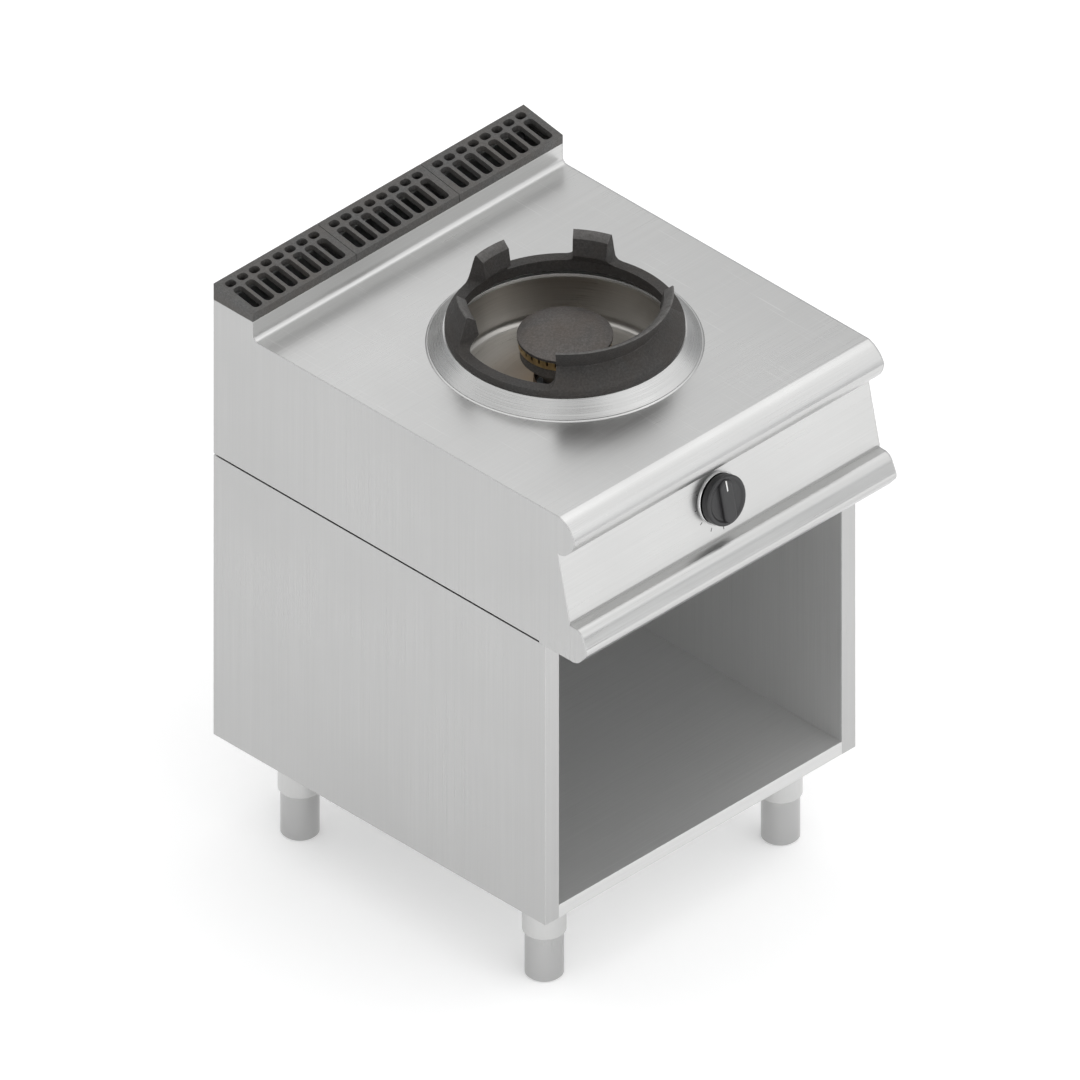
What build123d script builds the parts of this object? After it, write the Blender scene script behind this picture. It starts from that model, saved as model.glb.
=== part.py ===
from build123d import *
import math
import os

# Gas wok range on an open base: one high-output burner under a cast-iron wok ring.
# Millimetres. +X is to the user's right, +Y to the back, +Z up. The origin is on the
# floor, under the middle of the range's outline.

# ---------------------------------------------------------------- driving dimensions
WIDTH = 600.0                 # overall width
CABINET_DEPTH = 642.0         # open front edge of the base to the back
NOSE_REACH = 80.0             # how far the lower nose stands in front of the base
LEG_HEIGHT = 150.0            # floor to the underside of the base
BASE_HEIGHT = 468.0           # underside of the base to the seam under the upper unit
UPPER_HEIGHT = 229.0          # seam to the worktop
FLUE_RISE = 58.0              # worktop to the top of the flue at the back
FLUE_DEPTH = 76.0             # flue box, front to back

WALL = 26.5                   # double-skinned side walls of the base
SHEET = 1.5                   # stainless sheet
TOP_SHEET = 2.0               # worktop sheet
FLOOR_RISE = 21.0             # height of the base floor's front edge
SEAM_GAP = 3.0                # shadow gap between base and upper unit

LEG_INSET = 71.5              # leg centre to the side face
FRONT_LEG_INSET = 73.4        # leg centre to the open front edge
REAR_LEG_INSET = 95.7         # leg centre to the back
LEG_TUBE_R = 30.65            # fixed sleeve of the leg
FOOT_R = 27.25                # adjustable foot inside the sleeve
SLEEVE_REACH = 76.0           # sleeve below the base
FOOT_TRAVEL = 50.0            # height adjustment of each foot

BURNER_TO_FRONT = 262.0       # burner axis to the open front edge of the base
COLLAR_R = 190.0              # raised collar where it meets the worktop
COLLAR_TOP_R = 167.5          # raised collar at its upper edge
COLLAR_H = 22.5               # height of the raised collar

RING_OUT_R = 165.0            # wok ring at its foot
RING_IN_R = 148.0             # inner edge of the low rim
RING_LOW_H = 33.0             # low rim above the worktop
RING_WAIST_R = 137.0          # narrowest point of the shield's outside
RING_WAIST_H = 55.0
RING_THROAT_R = 130.5         # narrowest point of the inside
RING_THROAT_H = 52.0
RING_TOP_R = 149.5            # upper outer edge of shield and lugs
RING_TOP_H = 85.5
RING_SEAT_R = 135.5           # lower inner edge of the sloping wok seat
RING_SEAT_H = 77.5
LUG_ANGLES = (30.0, 90.0, 150.0)
LUG_HALF_ANGLE = 10.5
LUG_BACK_R = 157.0            # buttress behind each lug, at the waist's height
SHIELD_HALF_ANGLE = 50.0      # flame shield at the front
RING_CORNER_R = 12.0          # where lugs and shield run down into the rim

GRILLE_COUNT = 3
GRILLE_JOINT = 1.0            # gap between neighbouring castings
GRILLE_LIP = 14.0             # height of the castings' front lip
GRILLE_PLATE = 9.0            # thickness of the slotted top
GRILLE_SKIRT = 5.0
SLOT_COUNT = 8
SLOT_PITCH = 23.0
SLOT_W = 17.0
LONG_SLOT = 46.0
SHORT_SLOT = 12.5
SLOT_FRONT = 6.0              # front border of the casting
SLOT_RIB = 4.0                # cross rib between long and short slots
SLOT_CORNER_R = 6.0

PANEL_TOP = 62.0              # worktop to the top of the control panel
PANEL_DROP = 109.0            # height of the control panel
PANEL_TOP_REACH = 24.0        # its upper edge in front of the base
PANEL_LOW_REACH = 47.0        # its upright foot in front of the base
PANEL_HEM = 5.0               # height of the upright foot
CROWN_REACH = 26.2            # front edge of the worktop's flat

KNOB_DROP = 113.0             # worktop to the knob's centre on the panel
KNOB_R = 36.5
KNOB_DEPTH = 11.8
KNOB_BAR_W = 23.0
KNOB_BAR_RISE = 4.5
BEZEL_R = 38.0                # fixed ring on the panel behind the knob
BEZEL_T = 2.5
BEZEL_IN_R = 26.0
PUSH_TRAVEL = 3.0             # stroke that opens the safety valve
KNOB_GAP = BEZEL_T + PUSH_TRAVEL + 0.2

FRONT = NOSE_REACH - (CABINET_DEPTH + NOSE_REACH) / 2
BACK = FRONT + CABINET_DEPTH
SIDE = WIDTH / 2
BASE_Z = LEG_HEIGHT
SEAM_Z = BASE_Z + BASE_HEIGHT
TOP_Z = SEAM_Z + UPPER_HEIGHT
FLUE_Z = TOP_Z + FLUE_RISE
FLUE_FRONT = BACK - FLUE_DEPTH
GRILLE_Z = TOP_Z + 31.0       # the castings stand on the flue at this height
BURNER_Y = FRONT + BURNER_TO_FRONT
INNER = SIDE - WALL           # inside faces of the base's side walls
PLATE = SIDE - SHEET          # inside faces of the upper unit's side plates

os.makedirs("parts", exist_ok=True)


# ---------------------------------------------------------------- helpers
def save(node, shape):
    """Write one node; several separate solids may share it."""
    shape.label = node
    export_step(shape, f"parts/{node}.step")


def box(x0, x1, y0, y1, z0, z1):
    """A block between two opposite corners."""
    middle = Pos((x0 + x1) / 2, (y0 + y1) / 2, (z0 + z1) / 2)
    return middle * Box(x1 - x0, y1 - y0, z1 - z0)


def flat(*curves):
    """The face inside a closed run of curves."""
    edges = []
    for curve in curves:
        edges.extend(curve.edges())
    return make_face(edges)


def polygon(*points):
    """The face inside a closed run of straight edges."""
    return flat(Polyline(*points, close=True))


def across(face, x0, x1):
    """A side-view face (y, z) stretched from x0 to x1."""
    return extrude(Plane.YZ.offset(x0) * face, amount=x1 - x0)


def lengthwise(face, y0, y1):
    """A front-view face (x, z) stretched from y0 to y1."""
    return extrude(Plane(origin=(0, y0, 0), x_dir=(1, 0, 0), z_dir=(0, -1, 0)) * face, amount=y0 - y1)


def turned(face, x=0.0, y=0.0, z=0.0):
    """A half section (radius, height) turned about a vertical axis."""
    return Pos(x, y, z) * revolve(Plane.XZ * face, Axis.Z)


def drum(r, z0, z1, x=0.0, y=0.0):
    """An upright cylinder."""
    return Pos(x, y, (z0 + z1) / 2) * Cylinder(r, z1 - z0)


def hexagon(across_flats, z0, z1, x=0.0, y=0.0):
    """An upright hexagonal head or nut."""
    shape = RegularPolygon(across_flats / 2, 6, major_radius=False)
    return Pos(x, y, z0) * extrude(shape, amount=z1 - z0)


def joined(solids):
    """Separate solids kept together in one node."""
    return Compound(children=list(solids))


def mirrored(shape):
    """The same piece on the other side of the range."""
    return mirror(shape, about=Plane.YZ)


def pipe(points, bend, outer, inner):
    """A bent pipe along straight runs joined by arcs."""
    path = FilletPolyline(*points, radius=bend)
    start = Plane(origin=path @ 0, z_dir=path % 0)
    section = Circle(outer)
    if inner:
        section -= Circle(inner)
    return sweep(start * section, path=path)


# ---------------------------------------------------------------- side-view outlines
def forward(reach, height):
    """A side-view point, given its reach in front of the base's open edge."""
    return (FRONT - reach, height)


def upper_nose():
    """Rounded front edge of the worktop, from its flat to the control panel."""
    crown = forward(CROWN_REACH, TOP_Z)
    shoulder = forward(45.5, TOP_Z - 11)
    tip = forward(56.2, TOP_Z - 27.5)
    throat = forward(50.6, TOP_Z - 45)
    foot = forward(37, TOP_Z - 59.5)
    heel = forward(31, TOP_Z - PANEL_TOP)
    return [
        ThreePointArc(crown, shoulder, tip),
        ThreePointArc(tip, throat, foot),
        Line(foot, heel),
        Line(heel, forward(PANEL_TOP_REACH, TOP_Z - PANEL_TOP)),
    ]


LOW_NOSE_Z = TOP_Z - PANEL_TOP - PANEL_DROP
HEM_Z = LOW_NOSE_Z + PANEL_HEM
PANEL_LEAN = (PANEL_LOW_REACH - PANEL_TOP_REACH) / (PANEL_DROP - PANEL_HEM)
NOSE_HEEL = 12.0              # lower nose behind the base's open edge
NOSE_SOLE = 50.0              # front edge of the lower nose's flat underside


def lower_nose():
    """Rounded drip nose under the control panel, from its ledge to the seam."""
    ledge = forward(PANEL_LOW_REACH, LOW_NOSE_Z)
    brow = forward(60, LOW_NOSE_Z - 0.5)
    brow_turn = forward(67.3, LOW_NOSE_Z - 4.2)
    cheek = forward(72.8, LOW_NOSE_Z - 12)
    bulge_top = forward(77.6, LOW_NOSE_Z - 23.5)
    bulge = forward(NOSE_REACH, LOW_NOSE_Z - 31.5)
    bulge_low = forward(77.4, LOW_NOSE_Z - 39)
    chin = forward(66.5, LOW_NOSE_Z - 52.5)
    chin_turn = forward(59.5, SEAM_Z + 1.2)
    sole = forward(NOSE_SOLE, SEAM_Z)
    return [
        Line(ledge, brow),
        ThreePointArc(brow, brow_turn, cheek),
        Line(cheek, bulge_top),
        ThreePointArc(bulge_top, bulge, bulge_low),
        Line(bulge_low, chin),
        ThreePointArc(chin, chin_turn, sole),
    ]


COVE = 9.0                    # inside radius between the worktop and the flue


def cove():
    """The rounded fold where the flue rises from the worktop."""
    inset = COVE * (1 - math.sqrt(0.5))
    return ThreePointArc(
        (FLUE_FRONT, TOP_Z + COVE), (FLUE_FRONT - inset, TOP_Z + inset), (FLUE_FRONT - COVE, TOP_Z)
    )


def skin(face, thickness):
    """A band of sheet just inside the outline of a face."""
    return face - offset(face, amount=-thickness)


# ---------------------------------------------------------------- base cabinet
def base_side():
    """Left outer side: a folded pan, open towards the compartment."""
    pan = box(-SIDE, -INNER, FRONT, BACK, BASE_Z, SEAM_Z)
    hollow = box(-SIDE + SHEET, -INNER + 1, FRONT + SHEET, BACK - SHEET, BASE_Z + SHEET, SEAM_Z - SHEET)
    return pan - hollow


def base_liner():
    """Left inner skin, flanged into the side pan's mouth."""
    flange = 12.0
    y0, y1 = FRONT + SHEET, BACK - SHEET
    z0, z1 = BASE_Z + SHEET, SEAM_Z - SHEET
    panel = box(-INNER - flange, -INNER, y0, y1, z0, z1)
    hollow = box(-INNER - flange - 1, -INNER - SHEET, y0 + SHEET, y1 - SHEET, z0 + SHEET, z1 - SHEET)
    return panel - hollow


def base_floor():
    """Compartment floor: a tray turned down on all sides, with a front return."""
    y1 = BACK - SHEET
    top = BASE_Z + FLOOR_RISE
    tray = box(-INNER, INNER, FRONT, y1, BASE_Z, top)
    tray -= box(-INNER + SHEET, INNER - SHEET, FRONT + SHEET, y1 - SHEET, BASE_Z - 1, top - SHEET)
    tray += box(-INNER, INNER, FRONT, FRONT + 14, BASE_Z, BASE_Z + SHEET)
    return tray


def base_rail(y0, y1, open_side):
    """Top cross member: a channel between the side walls."""
    height, lip = 25.0, 12.0
    z0 = SEAM_Z - height
    rail = box(-INNER, INNER, y0, y1, z0, SEAM_Z)
    rail -= box(-INNER - 1, INNER + 1, y0 + SHEET, y1 - SHEET, z0 + SHEET, SEAM_Z - SHEET)
    cut_y0, cut_y1 = (y0 + SHEET, y1 + 1) if open_side > 0 else (y0 - 1, y1 - SHEET)
    rail -= box(-INNER - 1, INNER + 1, cut_y0, cut_y1, z0 + lip, SEAM_Z - SHEET)
    return rail


LEG_X = SIDE - LEG_INSET
LEG_SPOTS = {
    "front_left": (-LEG_X, FRONT + FRONT_LEG_INSET),
    "front_right": (LEG_X, FRONT + FRONT_LEG_INSET),
    "rear_left": (-LEG_X, BACK - REAR_LEG_INSET),
    "rear_right": (LEG_X, BACK - REAR_LEG_INSET),
}
PLATE_T = 4.0                 # corner plates and leg flanges
FLANGE_W = 84.0               # square flange of a leg
BOLT_OFFSET = 33.0            # bolts from the leg's axis, both ways
BOLT_R = 4.0
SOCKET_TOP = BASE_Z + FLOOR_RISE - SHEET - PLATE_T
STUD_R = 7.0                  # threaded stud that the foot climbs on


def bolt_spots(x, y):
    """The four bolts round one leg."""
    spots = []
    for dx in (-BOLT_OFFSET, BOLT_OFFSET):
        for dy in (-BOLT_OFFSET, BOLT_OFFSET):
            spots.append((x + dx, y + dy))
    return spots


def corner_plate(x, y):
    """Stiffening plate between the base floor and one leg."""
    plate = Pos(x, y, SOCKET_TOP) * extrude(RectangleRounded(FLANGE_W, FLANGE_W, 8), amount=PLATE_T)
    for bx, by in bolt_spots(x, y):
        plate -= drum(BOLT_R + 0.2, SOCKET_TOP - 1, SOCKET_TOP + PLATE_T + 1, bx, by)
    return plate


def leg_socket(x, y):
    """Fixed sleeve of a leg: square flange, tube and the stud for the foot."""
    flange_z = SOCKET_TOP - PLATE_T
    tube_low = BASE_Z - SLEEVE_REACH
    bore = FOOT_R + 0.4
    socket = Pos(x, y, flange_z) * extrude(RectangleRounded(FLANGE_W, FLANGE_W, 8), amount=PLATE_T)
    for bx, by in bolt_spots(x, y):
        socket -= drum(BOLT_R + 0.3, flange_z - 1, SOCKET_TOP + 1, bx, by)
    section = polygon(
        (bore, tube_low), (LEG_TUBE_R - 1, tube_low), (LEG_TUBE_R, tube_low + 1),
        (LEG_TUBE_R, flange_z), (bore, flange_z),
    )
    socket += turned(section, x, y)
    socket += drum(STUD_R, 58, flange_z, x, y)
    return socket


def leg_bolts():
    """Hexagon bolts of all legs, heads down."""
    bolts = []
    head_top = SOCKET_TOP - PLATE_T
    for x, y in LEG_SPOTS.values():
        for bx, by in bolt_spots(x, y):
            bolt = hexagon(13, head_top - 5.3, head_top, bx, by)
            bolt += drum(BOLT_R, head_top, SOCKET_TOP + PLATE_T, bx, by)
            bolts.append(bolt)
    return joined(bolts)


def foot(x, y):
    """Adjustable foot: a closed tube whose top disc climbs the leg's stud."""
    wall, disc, top = 2.0, 8.0, 135.0
    bore = STUD_R + 0.3
    section = polygon(
        (0, 0), (FOOT_R - 3, 0), (FOOT_R, 3), (FOOT_R, top), (bore, top), (bore, top - disc),
        (FOOT_R - wall, top - disc), (FOOT_R - wall, 4), (0, 4),
    )
    return turned(section, x, y)


# ---------------------------------------------------------------- upper unit
SIDE_FLANGE = 12.5            # flange along the foot of each side plate


def upper_side():
    """Left side plate of the upper unit, cut to the range's profile."""
    heel = NOSE_HEEL
    back_run = Polyline(
        forward(-heel, SEAM_Z), forward(-heel, SEAM_Z + SEAM_GAP), (BACK, SEAM_Z + SEAM_GAP),
        (BACK, GRILLE_Z), (FLUE_FRONT, GRILLE_Z), (FLUE_FRONT, TOP_Z + COVE),
    )
    flat_run = Line((FLUE_FRONT - COVE, TOP_Z), forward(CROWN_REACH, TOP_Z))
    panel_run = Polyline(
        forward(PANEL_TOP_REACH, TOP_Z - PANEL_TOP), forward(PANEL_LOW_REACH, HEM_Z),
        forward(PANEL_LOW_REACH, LOW_NOSE_Z),
    )
    sole = Line(forward(NOSE_SOLE, SEAM_Z), forward(-heel, SEAM_Z))
    outline = flat(back_run, cove(), flat_run, *upper_nose(), panel_run, *lower_nose(), sole)
    plate = across(outline, -SIDE, -PLATE)
    low = SEAM_Z + SEAM_GAP
    plate += box(-PLATE, -PLATE + SIDE_FLANGE, FRONT + heel, BACK, low, low + SHEET)
    return plate


def worktop():
    """Worktop: nose, flat with the burner hole, cove and flue front in one sheet."""
    shelf = 14.0
    low = TOP_Z - PANEL_TOP
    rear = FLUE_FRONT + shelf
    inner_run = Polyline(
        forward(PANEL_TOP_REACH, low), (rear, low), (rear, GRILLE_Z), (FLUE_FRONT, GRILLE_Z),
        (FLUE_FRONT, TOP_Z + COVE),
    )
    flat_run = Line((FLUE_FRONT - COVE, TOP_Z), forward(CROWN_REACH, TOP_Z))
    band = skin(flat(inner_run, cove(), flat_run, *upper_nose()), TOP_SHEET)
    keep_y = FRONT - PANEL_TOP_REACH
    section = band
    section -= polygon((keep_y, low - 1), (rear + 1, low - 1), (rear + 1, TOP_Z - 8), (keep_y, TOP_Z - 8))
    behind = FLUE_FRONT + TOP_SHEET
    under_shelf = GRILLE_Z - TOP_SHEET
    section -= polygon((behind, low), (rear + 1, low), (rear + 1, under_shelf), (behind, under_shelf))
    sheet = across(section, -PLATE, PLATE)
    return sheet - drum(BOWL_R + TOP_SHEET, TOP_Z - 10, TOP_Z + 10, 0, BURNER_Y)


BOWL_R = 160.0                # spill bowl under the worktop's hole
BOWL_DEPTH = 75.0
BOWL_NECK_R = 42.0            # hole for the burner's throat
PILOT_R = 5.0
PILOT_SPOTS = ((14.0, BURNER_Y - 80), (-14.0, BURNER_Y - 80))


def wok_collar():
    """Raised conical collar welded round the hole, with a seat for the wok ring."""
    lip_r = COLLAR_TOP_R - 10
    under = COLLAR_H - TOP_SHEET
    section = polygon(
        (COLLAR_R, 0), (COLLAR_TOP_R, COLLAR_H), (lip_r, COLLAR_H), (lip_r, COLLAR_H - 10),
        (lip_r + TOP_SHEET, COLLAR_H - 10), (lip_r + TOP_SHEET, under),
        (COLLAR_TOP_R - 0.8, under), (COLLAR_R - 2.8, 0),
    )
    return turned(section, 0, BURNER_Y, TOP_Z)


def spill_bowl():
    """Deep-drawn bowl that catches spills, with a raised neck round the burner."""
    flange_z = -TOP_SHEET
    floor_z = -BOWL_DEPTH
    section = polygon(
        (BOWL_R + 16, flange_z), (BOWL_R - SHEET, flange_z), (BOWL_R - SHEET, floor_z + SHEET),
        (BOWL_NECK_R + SHEET, floor_z + SHEET), (BOWL_NECK_R + SHEET, floor_z + 20),
        (BOWL_NECK_R, floor_z + 20), (BOWL_NECK_R, floor_z), (BOWL_R, floor_z),
        (BOWL_R, flange_z - SHEET), (BOWL_R + 16, flange_z - SHEET),
    )
    inner_corner = section.vertices().sort_by_distance((BOWL_R - SHEET, floor_z + SHEET, 0))[0]
    section = fillet(inner_corner, 12)
    outer_corner = section.vertices().sort_by_distance((BOWL_R, floor_z, 0))[0]
    section = fillet(outer_corner, 12 + SHEET)
    bowl = turned(section, 0, BURNER_Y, TOP_Z)
    for x, y in PILOT_SPOTS:
        bowl -= drum(PILOT_R + 0.2, TOP_Z - BOWL_DEPTH - 5, TOP_Z - BOWL_DEPTH + 5, x, y)
    return bowl


KNOB_Z = TOP_Z - KNOB_DROP
KNOB_REACH = PANEL_TOP_REACH + PANEL_LEAN * (TOP_Z - PANEL_TOP - KNOB_Z)
KNOB_FRAME = Plane(
    origin=(0, FRONT - KNOB_REACH, KNOB_Z), x_dir=(1, 0, 0), z_dir=(0, -1, PANEL_LEAN)
)                             # local z points out of the panel
SPINDLE_HOLE_R = 9.0
TAP_SCREWS_X = (-20.0, 20.0)
TAP_SCREW_R = 2.0
PANEL_SCREWS_X = (-240.0, 240.0)
PANEL_SCREW_Y = FRONT - 34
PANEL_SCREW_R = 2.5
PANEL_FOLD_REACH = 24.0       # rear edge of the panel's lower fold
PANEL_TURN_REACH = 4.0        # rear edge of the panel's upper fold


def control_panel():
    """Leaning control panel with an upright foot, turned in at both edges."""
    through = 20.0
    inner_shift = SHEET * math.hypot(1, PANEL_LEAN)
    top_z = TOP_Z - PANEL_TOP
    low_z = LOW_NOSE_Z
    bend_z = HEM_Z - (inner_shift - SHEET) / PANEL_LEAN
    top_inside = PANEL_TOP_REACH + PANEL_LEAN * SHEET - inner_shift
    section = polygon(
        forward(PANEL_TOP_REACH, top_z), forward(PANEL_LOW_REACH, HEM_Z), forward(PANEL_LOW_REACH, low_z),
        forward(PANEL_FOLD_REACH, low_z), forward(PANEL_FOLD_REACH, low_z + SHEET),
        forward(PANEL_LOW_REACH - SHEET, low_z + SHEET), forward(PANEL_LOW_REACH - SHEET, bend_z),
        forward(top_inside, top_z - SHEET), forward(PANEL_TURN_REACH, top_z - SHEET),
        forward(PANEL_TURN_REACH, top_z),
    )
    panel = across(section, -PLATE, PLATE)
    panel -= KNOB_FRAME * Cylinder(SPINDLE_HOLE_R, through)
    for x in TAP_SCREWS_X:
        panel -= KNOB_FRAME * (Pos(x, 0, 0) * Cylinder(TAP_SCREW_R + 0.2, through))
    for x in PANEL_SCREWS_X:
        panel -= drum(PANEL_SCREW_R + 0.2, low_z - 1, low_z + SHEET + 1, x, PANEL_SCREW_Y)
    return panel


def front_nose():
    """Lower nose: ledge, rounded front and sole in one sheet."""
    run = Polyline(
        forward(NOSE_SOLE, SEAM_Z), forward(-NOSE_HEEL, SEAM_Z), forward(-NOSE_HEEL, LOW_NOSE_Z),
        forward(PANEL_LOW_REACH, LOW_NOSE_Z),
    )
    section = skin(flat(run, *lower_nose()), SHEET)
    cut = FRONT - PANEL_FOLD_REACH
    heel = FRONT + NOSE_HEEL + 1
    section -= polygon(
        (cut, SEAM_Z + SHEET), (heel, SEAM_Z + SHEET), (heel, LOW_NOSE_Z + 1), (cut, LOW_NOSE_Z + 1)
    )
    nose = across(section, -PLATE, PLATE)
    for x in PANEL_SCREWS_X:
        nose -= drum(PANEL_SCREW_R + 0.2, LOW_NOSE_Z - SHEET - 1, LOW_NOSE_Z + 1, x, PANEL_SCREW_Y)
    return nose


def panel_screws():
    """Screws that hold the control panel to the lower nose, from below."""
    screws = []
    under = LOW_NOSE_Z - SHEET
    for x in PANEL_SCREWS_X:
        screw = drum(1.8 * PANEL_SCREW_R, under - 3, under, x, PANEL_SCREW_Y)
        screw += drum(PANEL_SCREW_R, under, LOW_NOSE_Z + SHEET + 5, x, PANEL_SCREW_Y)
        screws.append(screw)
    return joined(screws)


REAR_RECESS = 25.0            # pipe recess in the back of the upper unit
RECESS_Z = TOP_Z - 80
BACK_FLANGE = 14.0            # upper flange of the back, under the castings
BACK_FOLD = 12.0              # its lower fold
INLET_X = -225.0
INLET_Z = 690.0
INLET_R = 10.48               # crests of the half-inch gas thread
INLET_COLLAR_R = 13.0         # shoulder that fills the back's hole
INLET_COLLAR_OUT = 1.0        # shoulder outside the back
INLET_RELIEF = 1.5            # groove between shoulder and thread
INLET_HEX = 30.0              # across flats
INLET_HEX_H = 12.0
INLET_BORE_R = 7.0
INLET_SHORT = 4.0             # the thread ends this far inside the range's back
INLET_FACE_Y = BACK - REAR_RECESS - SHEET - INLET_HEX_H
EARTH_X = -265.0
EARTH_Z = 650.0
EARTH_R = 3.0


def upper_back():
    """Back of the upper unit, set in below the flue to leave room for the gas pipe."""
    recess_y = BACK - REAR_RECESS
    low = SEAM_Z + SEAM_GAP
    t = SHEET
    face = polygon(
        (BACK - BACK_FLANGE, GRILLE_Z), (BACK, GRILLE_Z), (BACK, RECESS_Z), (recess_y, RECESS_Z),
        (recess_y, low + t), (recess_y - t, low + t), (recess_y - t, RECESS_Z + t),
        (BACK - t, RECESS_Z + t), (BACK - t, GRILLE_Z - t), (BACK - BACK_FLANGE, GRILLE_Z - t),
    )
    fold = polygon(
        (recess_y - BACK_FOLD, low), (recess_y, low), (recess_y, low + t), (recess_y - BACK_FOLD, low + t)
    )
    clear = PLATE - SIDE_FLANGE - 1.5
    panel = across(face, -PLATE, PLATE) + across(fold, -clear, clear)
    backwards = Rot(90, 0, 0)
    panel -= Pos(INLET_X, recess_y, INLET_Z) * backwards * Cylinder(INLET_COLLAR_R + 0.3, 20)
    panel -= Pos(EARTH_X, recess_y, EARTH_Z) * backwards * Cylinder(EARTH_R + 0.3, 20)
    return panel


GASKET_W = 10.0
GASKET_INSET = 3.0            # strip behind the side plates' inner faces
GASKET_BACK_INSET = 2.0


def seam_gasket():
    """Recessed joint strip between base and upper unit: two sides and the back."""
    x1 = PLATE - GASKET_INSET
    y1 = BACK - REAR_RECESS - GASKET_BACK_INSET
    z0, z1 = SEAM_Z, SEAM_Z + SEAM_GAP
    strip = box(-x1, x1, FRONT + NOSE_HEEL, y1, z0, z1)
    strip -= box(-x1 + GASKET_W, x1 - GASKET_W, FRONT, y1 - GASKET_W, z0 - 1, z1 + 1)
    return strip


TRAY_GAP = 0.5
TRAY_X = PLATE - GASKET_INSET - GASKET_W - TRAY_GAP
TRAY_Y0 = FRONT + NOSE_HEEL + TRAY_GAP
TRAY_Y1 = BACK - REAR_RECESS - GASKET_BACK_INSET - GASKET_W - TRAY_GAP
AIR_SLOTS = 5                 # on each side of the burner
AIR_SLOT_PITCH = 24.0


def heat_shield():
    """Tray that closes the upper unit from below, slotted for combustion air."""
    rise, first_slot = 18.0, 110.0
    tray = box(-TRAY_X, TRAY_X, TRAY_Y0, TRAY_Y1, SEAM_Z, SEAM_Z + rise)
    inner_x, inner_y0, inner_y1 = TRAY_X - SHEET, TRAY_Y0 + SHEET, TRAY_Y1 - SHEET
    tray -= box(-inner_x, inner_x, inner_y0, inner_y1, SEAM_Z + SHEET, SEAM_Z + rise + 1)
    slot = extrude(SlotOverall(90, 8, rotation=90), amount=6)
    for side in (-1, 1):
        for step in range(AIR_SLOTS):
            x = side * (first_slot + AIR_SLOT_PITCH * step)
            tray -= Pos(x, BURNER_Y, SEAM_Z - 2) * slot
    return tray


# ---------------------------------------------------------------- flue grilles
def flue_grille(index):
    """One slotted cast-iron flue cover with a sloping top and skirts all round."""
    pitch = WIDTH / GRILLE_COUNT
    x0 = -SIDE + pitch * index + (GRILLE_JOINT / 2 if index else 0)
    x1 = -SIDE + pitch * (index + 1) - (GRILLE_JOINT / 2 if index < GRILLE_COUNT - 1 else 0)
    slope_front, slope_back = GRILLE_Z + GRILLE_LIP, FLUE_Z
    outline = polygon(
        (FLUE_FRONT, GRILLE_Z), (FLUE_FRONT, slope_front), (BACK, slope_back), (BACK, GRILLE_Z),
    )
    inner_front, inner_back = FLUE_FRONT + GRILLE_SKIRT, BACK - GRILLE_SKIRT
    hollow = polygon(
        (inner_front, GRILLE_Z - 1), (inner_front, slope_front - GRILLE_PLATE + 1),
        (inner_back, slope_back - GRILLE_PLATE - 1), (inner_back, GRILLE_Z - 1),
    )
    casting = across(outline, x0, x1) - across(hollow, x0 + GRILLE_SKIRT, x1 - GRILLE_SKIRT)
    long_y = FLUE_FRONT + SLOT_FRONT + LONG_SLOT / 2
    short_y = FLUE_FRONT + SLOT_FRONT + LONG_SLOT + SLOT_RIB + SHORT_SLOT / 2
    long_slot = extrude(RectangleRounded(SLOT_W, LONG_SLOT, SLOT_CORNER_R), amount=FLUE_RISE)
    short_slot = extrude(RectangleRounded(SLOT_W, SHORT_SLOT, SLOT_CORNER_R), amount=FLUE_RISE)
    cuts = []
    for step in range(SLOT_COUNT):
        x = (x0 + x1) / 2 + SLOT_PITCH * (step - (SLOT_COUNT - 1) / 2)
        cuts.append(Pos(x, long_y, GRILLE_Z + 1) * long_slot)
        cuts.append(Pos(x, short_y, GRILLE_Z + 1) * short_slot)
    return casting - cuts


# ---------------------------------------------------------------- wok ring
def ring_section():
    """Half section of the casting: spigot, foot, waist, and the sloping seat on top."""
    spigot_r = COLLAR_TOP_R - 10.5
    section = polygon(
        (RING_IN_R + 2, COLLAR_H - 8), (spigot_r, COLLAR_H - 8), (spigot_r, COLLAR_H),
        (RING_OUT_R, COLLAR_H), (RING_OUT_R, RING_LOW_H + 1), (RING_WAIST_R, RING_WAIST_H),
        (RING_TOP_R, RING_TOP_H - 1.5), (RING_TOP_R - 1.8, RING_TOP_H),
        (RING_SEAT_R, RING_SEAT_H), (RING_THROAT_R, RING_THROAT_H), (RING_IN_R, RING_LOW_H),
    )
    foot_edge = section.vertices().sort_by_distance((RING_OUT_R, RING_LOW_H + 1, 0))[0]
    return fillet(foot_edge, 9)


def lug_buttress(angle):
    """The thicker outside of one lug, flaring from its top edge to the foot."""
    section = polygon(
        (RING_IN_R + 4, RING_LOW_H - 3), (RING_OUT_R - 1, RING_LOW_H - 3), (RING_OUT_R - 3, RING_LOW_H + 5),
        (LUG_BACK_R, RING_WAIST_H), (RING_TOP_R + 3, RING_TOP_H - 12), (RING_TOP_R, RING_TOP_H - 1.5),
        (RING_WAIST_R - 3, RING_WAIST_H + 2),
    )
    half = LUG_HALF_ANGLE + 6
    return Rot(0, 0, angle - half) * revolve(Plane.XZ * section, Axis.Z, revolution_arc=2 * half)


def ring_window(start, end):
    """The space over the low rim between two angles, round in its lower corners."""
    block = polygon((110, RING_LOW_H), (190, RING_LOW_H), (190, 120), (110, 120))
    sector = Rot(0, 0, start) * revolve(Plane.XZ * block, Axis.Z, revolution_arc=end - start)
    corners = sector.edges().filter_by(GeomType.LINE).group_by(Axis.Z)[0]
    return fillet(corners, RING_CORNER_R)


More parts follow.
